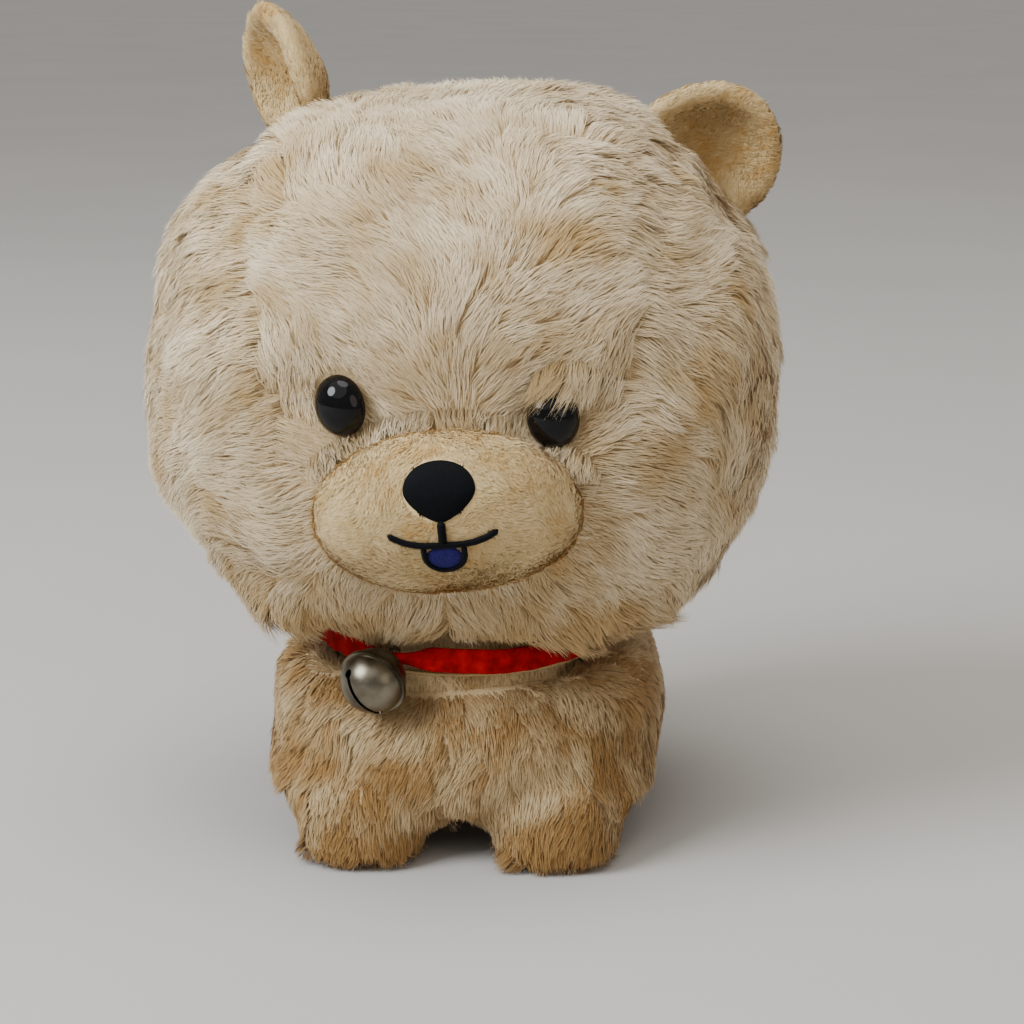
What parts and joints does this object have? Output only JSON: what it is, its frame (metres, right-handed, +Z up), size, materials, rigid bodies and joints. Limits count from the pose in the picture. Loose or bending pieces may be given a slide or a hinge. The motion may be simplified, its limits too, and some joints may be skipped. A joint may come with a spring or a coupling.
{
  "type": "plush dog",
  "caption": "Stuffed plush dog with a large round head, short legs, embroidered snout, domed eyes, cupped ears, and a ribbon collar with a jingle bell.",
  "frame": {"origin": "on the floor, under the middle of the toy's overall box", "axes": "+Z up, the dog looks along -Y, its left side is +X"},
  "size_m": [0.202, 0.2053, 0.2612],
  "materials": {
    "body_fur": "long pile plush, golden beige",
    "head_fur": "long pile plush, cream beige",
    "short_pile": "short velboa pile, golden tan",
    "fibre_fill": "loose white polyester fibre filling",
    "label_satin": "blank woven satin tag",
    "sewing_thread": "twisted polyester sewing thread",
    "black_thread": "black satin stitch embroidery",
    "blue_thread": "dark violet blue satin stitch embroidery",
    "washer_plastic": "natural white moulded lock washer",
    "eye_plastic": "polished black plastic",
    "red_ribbon": "red velvet ribbon",
    "bell_metal": "brass with an antique nickel plating, brushed",
    "clapper_steel": "plain steel ball"
  },
  "bodies": {
    "body": {"body_side_left": "body_fur", "body_side_right": "body_fur", "belly_gusset": "body_fur", "body_stuffing": "fibre_fill", "leg_front_left": "body_fur", "leg_front_right": "body_fur", "leg_rear_left": "body_fur", "leg_rear_right": "body_fur", "sole_front_left": "body_fur", "sole_front_right": "body_fur", "sole_rear_left": "body_fur", "sole_rear_right": "body_fur", "leg_stuffing_front_left": "fibre_fill", "leg_stuffing_front_right": "fibre_fill", "leg_stuffing_rear_left": "fibre_fill", "leg_stuffing_rear_right": "fibre_fill", "care_label": "label_satin"},
    "neck": {"neck_stuffing": "fibre_fill", "neck_stitches": "sewing_thread"},
    "head": {"forehead_gusset": "head_fur", "head_back": "head_fur", "cheek_left": "head_fur", "cheek_right": "head_fur", "head_stuffing": "fibre_fill", "muzzle_cover": "short_pile", "muzzle_stuffing": "fibre_fill", "nose_embroidery": "black_thread", "mouth_embroidery": "black_thread", "tongue_embroidery": "blue_thread", "eye_left": "eye_plastic", "eye_right": "eye_plastic", "eye_washer_left": "washer_plastic", "eye_washer_right": "washer_plastic"},
    "ear_left": {"ear_lining_left": "short_pile", "ear_back_left": "short_pile"},
    "ear_right": {"ear_lining_right": "short_pile", "ear_back_right": "short_pile"},
    "tail": {"tail_cover_left": "body_fur", "tail_cover_right": "body_fur", "tail_stuffing": "fibre_fill"},
    "collar": {"collar_ribbon": "red_ribbon"},
    "bell": {"bell_front_shell": "bell_metal", "bell_back_shell": "bell_metal", "bell_loop": "bell_metal"},
    "clapper": {"clapper": "clapper_steel"}
  },
  "joints": [
    {"name": "head_turn", "type": "hinge", "parent": "body", "child": "neck", "pos_m": [0, -0.003, 0.06], "axis": [0, 0, 1], "range_deg": [-15, 15], "stiffness_Nm_per_rad": 1.2},
    {"name": "head_nod", "type": "hinge", "parent": "neck", "child": "head", "pos_m": [0, -0.003, 0.07618], "axis": [1, 0, 0], "range_deg": [-5, 2], "stiffness_Nm_per_rad": 8},
    {"name": "ear_left_fold", "type": "hinge", "parent": "head", "child": "ear_left", "pos_m": [0.07479, 0.01323, 0.21472], "axis": [0.6671, 0.2079, -0.7154], "range_deg": [-20, 20], "stiffness_Nm_per_rad": 0.15},
    {"name": "ear_right_fold", "type": "hinge", "parent": "head", "child": "ear_right", "pos_m": [-0.0528, 0.01294, 0.23068], "axis": [0.4608, -0.8829, 0.0896], "range_deg": [-20, 20], "stiffness_Nm_per_rad": 0.15},
    {"name": "tail_wag", "type": "hinge", "parent": "body", "child": "tail", "pos_m": [0, 0.0803, 0.05429], "axis": [0, -0.9135, 0.4067], "range_deg": [-25, 25], "stiffness_Nm_per_rad": 0.2},
    {"name": "collar_slide_round", "type": "hinge", "parent": "body", "child": "collar", "pos_m": [0, -0.003, 0.066], "axis": [0, 0, 1], "range_deg": [-10, 50]},
    {"name": "bell_swing", "type": "hinge", "parent": "collar", "child": "bell", "pos_m": [-0.01936, -0.04451, 0.066], "axis": [0.9063, -0.4226, 0], "range_deg": [-10, 0]},
    {"name": "clapper_rattle", "type": "slide", "parent": "bell", "child": "clapper", "axis": [0, 0, 1], "range_m": [0, 0.012]}
  ]
}
